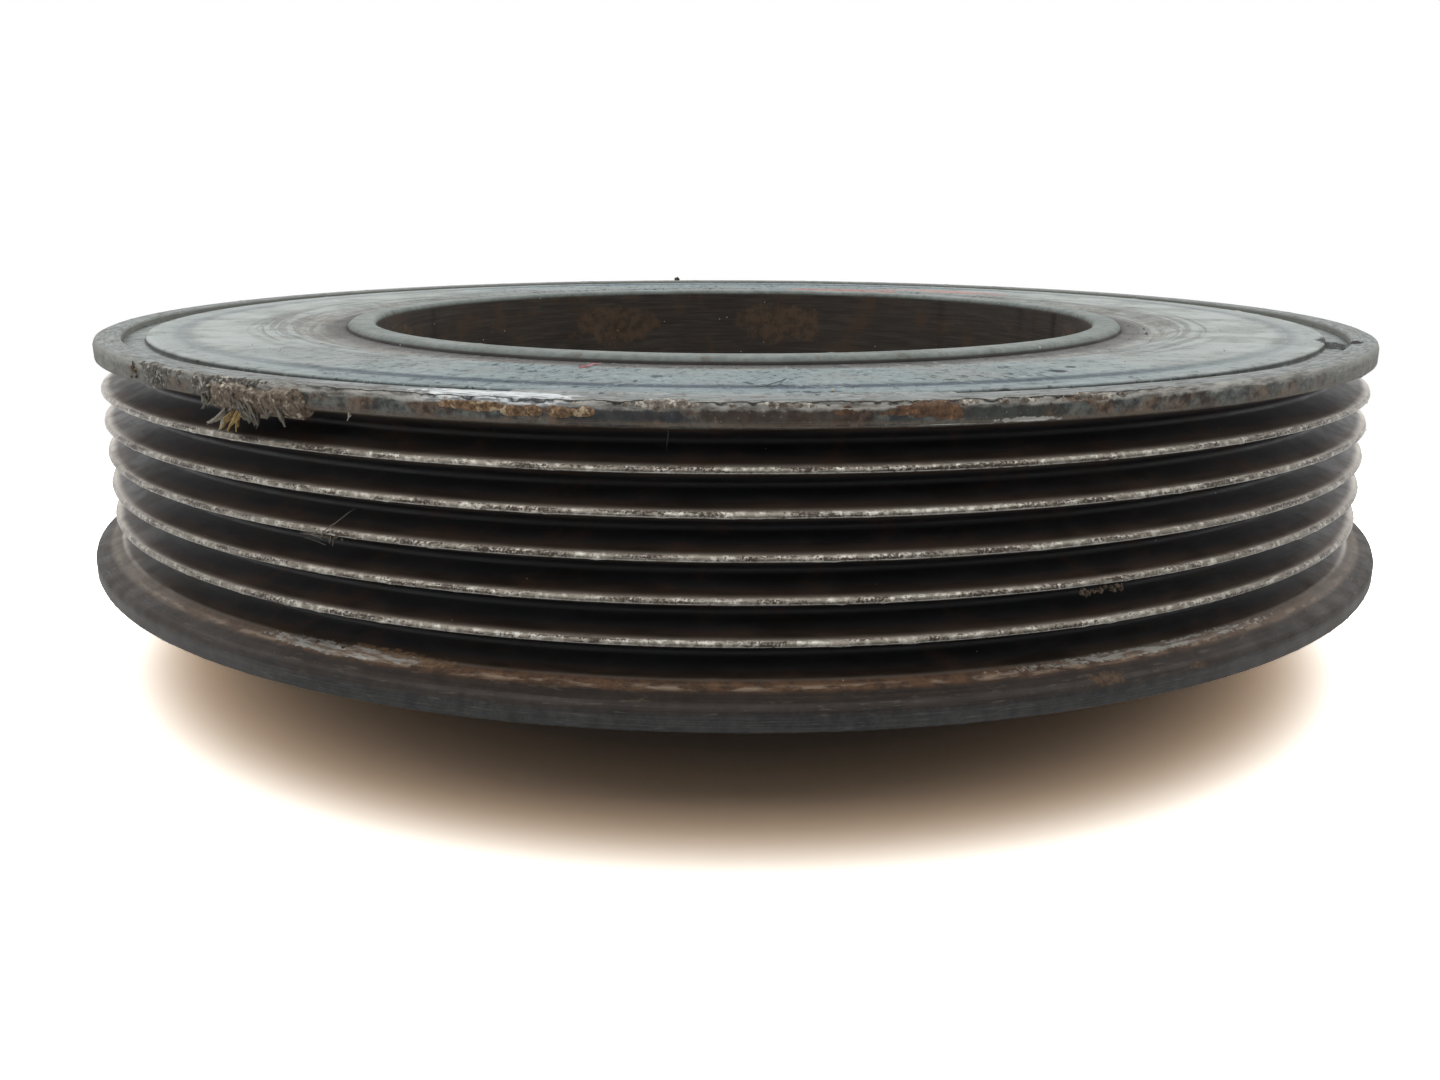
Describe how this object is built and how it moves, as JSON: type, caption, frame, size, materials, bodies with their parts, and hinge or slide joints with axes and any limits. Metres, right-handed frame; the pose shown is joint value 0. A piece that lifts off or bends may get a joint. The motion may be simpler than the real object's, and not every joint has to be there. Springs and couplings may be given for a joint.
{
  "type": "crankshaft belt pulley with torsional damper",
  "caption": "Multi-groove belt pulley with a moulded rubber damper, an inertia ring and a deep dished hub that bolts to a shaft end.",
  "frame": {"origin": "centre of the hub's rear face, where it bolts to the shaft end and where the part stands on a table", "axes": "+Z along the pulley's axis, towards the open dish and the front face; +X and +Y through bolt holes"},
  "size_m": [0.1606, 0.1606, 0.0401],
  "materials": {
    "hub_steel": "thin black coat, dusty grey on the lip, rust-brown patches on the dish wall",
    "damper_rubber": "matt blue-grey aged rubber with fine grain, small chips and brown dirt in the trough",
    "inertia_iron": "dull dark cast iron with a thin brown rust film",
    "belt_ring_steel": "near-black grooves, bright speckled worn rib tips, brown film and rust patches on the flanges"
  },
  "bodies": {
    "root": {"hub": "hub_steel", "rubber_ring": "damper_rubber", "inertia_ring": "inertia_iron", "belt_ring": "belt_ring_steel"}
  },
  "joints": []
}
